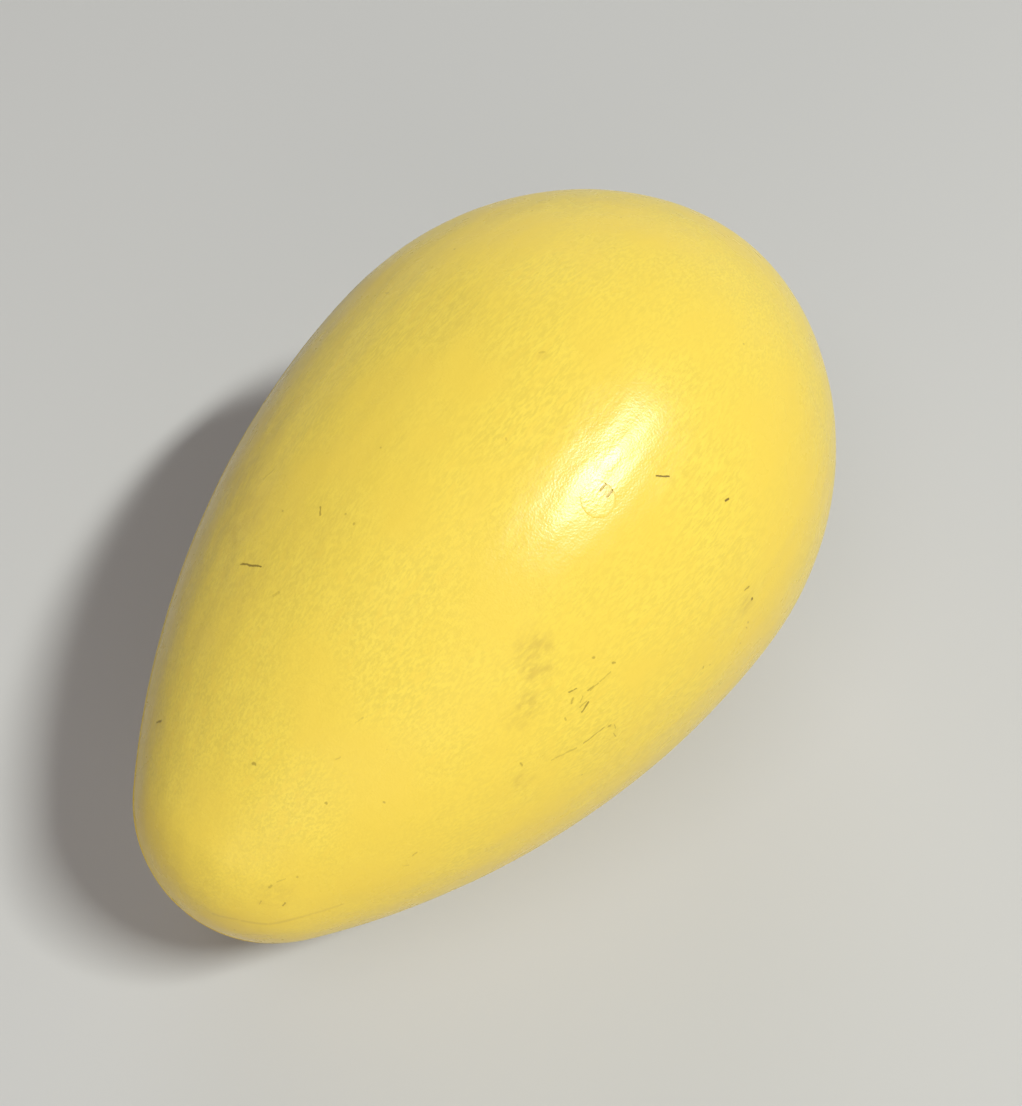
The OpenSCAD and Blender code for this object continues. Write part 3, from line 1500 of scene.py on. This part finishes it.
@dataclass(frozen=True)
class Lamp:
    """A lamp far from the ball, aimed at it.

    Attributes:
        name: Name of the lamp.
        heading: Its direction, in degrees from +X towards +Y.
        rise: Its height above the ground, in degrees.
        strength: Light that it throws on a face square to it.
        colour: Its colour.
        width: Angle that it fills across the ball's long axis, in degrees.
        length: Angle that it fills along the ball's long axis, in degrees.
        glints: Whether glossy surfaces mirror it.
    """

    name: str
    heading: float
    rise: float
    strength: float
    colour: tuple[float, float, float]
    width: float = 30.0
    length: float = 30.0
    glints: bool = False

    def hang(self, aim: Vector, distance: float) -> None:
        """Hangs the lamp as a rectangular soft box.

        Args:
            aim: Point that it is aimed at.
            distance: Distance from that point.
        """
        toward = pointing(self.heading, self.rise)
        side = (LONG_AXIS - toward * LONG_AXIS.dot(toward)).normalized()
        turn = Matrix((side, toward.cross(side), toward)).transposed().to_euler()
        release_all()
        bpy.ops.object.light_add(type="AREA", location=aim + toward * distance, rotation=turn)
        lamp = bpy.context.active_object
        lamp.name = self.name
        lamp.data.shape = "RECTANGLE"
        lamp.data.size = 2 * distance * math.tan(math.radians(self.length / 2))
        lamp.data.size_y = 2 * distance * math.tan(math.radians(self.width / 2))
        lamp.data.energy = self.strength * math.pi * distance**2
        lamp.data.color = self.colour
        lamp.visible_glossy = self.glints


@dataclass(frozen=True)
class Studio:
    """Soft boxes round the ball, an even sky and a plain pale floor.

    Attributes:
        lamps: The soft boxes.
        distance: Their distance from the ball.
        sky_colour: Colour of the even light from all round.
        sky_strength: Its strength.
        backdrop: Colour that the camera sees behind the floor.
        floor_colour: Colour of the floor.
        floor_bounce: Colour of the light that the floor throws back.
        floor_radius: Radius of the round floor.
        floor_steps: Number of its corners.
        floor_roughness: Roughness of the floor.
        floor_specular: Strength of the floor's faint gloss.
    """

    lamps: tuple[Lamp, ...] = (
        Lamp("key_light", -78.5, 55.5, 2.63, (1.0, 0.99, 0.97), 3.0, 15.0, True),
        Lamp("high_fill", 190.0, 65.0, 0.56, (1.0, 0.91, 0.95)),
        Lamp("low_fill", 200.0, 14.0, 0.52, (1.0, 0.92, 0.95)),
        Lamp("front_fill", 235.0, 22.0, 0.44, (1.0, 0.92, 0.9)),
        Lamp("back_fill", 40.0, 30.0, 0.5, (1.0, 0.93, 0.92)),
    )
    distance: float = 4.0
    sky_colour: Colour = (1.0, 0.9, 0.88, 1.0)
    sky_strength: float = 0.04
    backdrop: Colour = (0.76, 0.77, 0.78, 1.0)
    floor_colour: Colour = (0.58, 0.60, 0.58, 1.0)
    floor_bounce: Colour = (0.36, 0.30, 0.22, 1.0)
    floor_radius: float = 2.0
    floor_steps: int = 128
    floor_roughness: float = 0.9
    floor_specular: float = 0.1

    def seen(self, bench: Bench) -> Socket:
        """Tells rays from the camera, direct or by way of gloss or glass, from all others.

        Args:
            bench: The bench of the material or world.

        Returns:
            1 for such a ray, and 0 for any other.
        """
        path = bench.add("ShaderNodeLightPath").outputs
        direct = bench.math("MAXIMUM", path["Is Camera Ray"], path["Is Glossy Ray"])
        return bench.math("MAXIMUM", direct, path["Is Transmission Ray"])

    def hang_lights(self, aim: Vector) -> None:
        """Hangs the lamps and sets the sky.

        Args:
            aim: Point that the lamps are aimed at.
        """
        for lamp in self.lamps:
            lamp.hang(aim, self.distance)

        world = bpy.data.worlds.new("even_sky")
        bench = cleared_bench(world)
        sky = {"Color": self.sky_colour, "Strength": self.sky_strength}
        choice = bench.add("ShaderNodeMixShader", {"Fac": self.seen(bench)})
        for socket, inputs in zip(choice.inputs[1:], (sky, {"Color": self.backdrop})):
            bench.feed(socket, bench.add("ShaderNodeBackground", inputs).outputs["Background"])
        bench.end("ShaderNodeOutputWorld", choice.outputs["Shader"])
        bpy.context.scene.world = world

    def lay_floor(self) -> None:
        """Lays the floor that the ball lies on."""
        release_all()
        sizes = {"vertices": self.floor_steps, "radius": self.floor_radius}
        bpy.ops.mesh.primitive_circle_add(fill_type="NGON", **sizes)
        floor = bpy.context.active_object
        floor.name = "floor"
        material = bpy.data.materials.new("pale_floor")
        bench = cleared_bench(material)
        inputs = {
            "Roughness": self.floor_roughness,
            "Specular IOR Level": self.floor_specular,
            "Base Color": bench.mix(self.seen(bench), self.floor_bounce, self.floor_colour),
        }
        shader = bench.add("ShaderNodeBsdfPrincipled", inputs)
        bench.end("ShaderNodeOutputMaterial", shader.outputs["BSDF"])
        coat(floor, material)
        floor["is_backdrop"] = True


@dataclass(frozen=True)
class Viewpoint:
    """The camera, aimed beside the middle of the object.

    Attributes:
        heading: Direction of view, in degrees from +X towards +Y.
        look_down: Angle of the view below the horizon, in degrees.
        distance: Distance from the point aimed at.
        beside: Offset of that point from the middle of the object, along X and Y.
        lens: Focal length, in millimetres.
        film: Height of the film, in millimetres.
        nearest: Distance within which nothing is drawn.
    """

    heading: float = 38.42
    look_down: float = 55.07
    distance: float = 586.7 * MM
    beside: tuple[float, float] = (7.3 * MM, -8.1 * MM)
    lens: float = 55.3
    film: float = 36.0
    nearest: float = 10 * MM

    def place(self, low: Vector, high: Vector) -> None:
        """Places the camera.

        Args:
            low: Lowest corner of the object's box.
            high: Its highest corner.
        """
        aim = (low + high) / 2 + Vector((*self.beside, 0.0))
        ahead = pointing(self.heading, -self.look_down)
        turn = ahead.to_track_quat("-Z", "Y").to_euler()
        release_all()
        bpy.ops.object.camera_add(location=aim - ahead * self.distance, rotation=turn)
        camera = bpy.context.active_object
        camera.name = "camera"
        camera.data.sensor_fit = "VERTICAL"
        camera.data.sensor_height = self.film
        camera.data.lens = self.lens
        camera.data.clip_start = self.nearest
        bpy.context.scene.camera = camera


# --- Making ------------------------------------------------------------------


def check_box(piece: Piece, node: str, allowance: float) -> None:
    """Checks that a finished piece fills the box of the CAD node that it replaces.

    Args:
        piece: The piece.
        node: Name of the node.
        allowance: How far a side of the box may be off.

    Raises:
        ValueError: A side is further off.
    """
    low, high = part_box(node)
    for axis, letter in enumerate("XYZ"):
        reach = [vertex.co[axis] for vertex in piece.data.vertices]
        off = max(abs(min(reach) - low[axis]), abs(max(reach) - high[axis]))
        if off > allowance:
            raise ValueError(f"{piece.name} is {off / MM:.2f} mm off {node} along {letter}")
        log.info("%s along %s: %.2f mm off %s", piece.name, letter, off / MM, node)


def main() -> None:
    """Builds the ball, piece by piece, and the studio round it."""
    logging.basicConfig(level=logging.INFO, format="%(name)s: %(message)s")
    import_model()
    cad_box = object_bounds()
    Viewpoint().place(*cad_box)
    for build_group in (grain_group, stroke_group, patch_group, scatter_group):
        build_group()

    form = EggForm()
    sizes = PlugForm()
    moulded = MouldedShell(form, sizes)
    shell = moulded.build()
    check_box(shell, "ball_shell", allowance=0.6 * MM)
    moulded.dress(shell, ShellPlastic("shell_plastic", form.to_rest(), form=form).material())

    sealing = SealPlug(form, sizes)
    plug = sealing.build()
    check_box(plug, "seal_plug", allowance=0.15 * MM)
    seat = form.to_rest() @ sizes.seat(form)
    sealing.dress(plug, PlugPlastic("plug_plastic", seat, swell=0.0, plug=sizes).material())

    studio = Studio()
    studio.hang_lights((cad_box[0] + cad_box[1]) / 2)
    studio.lay_floor()
    bpy.context.scene.view_settings.view_transform = "Standard"


if __name__ == "__main__":
    main()
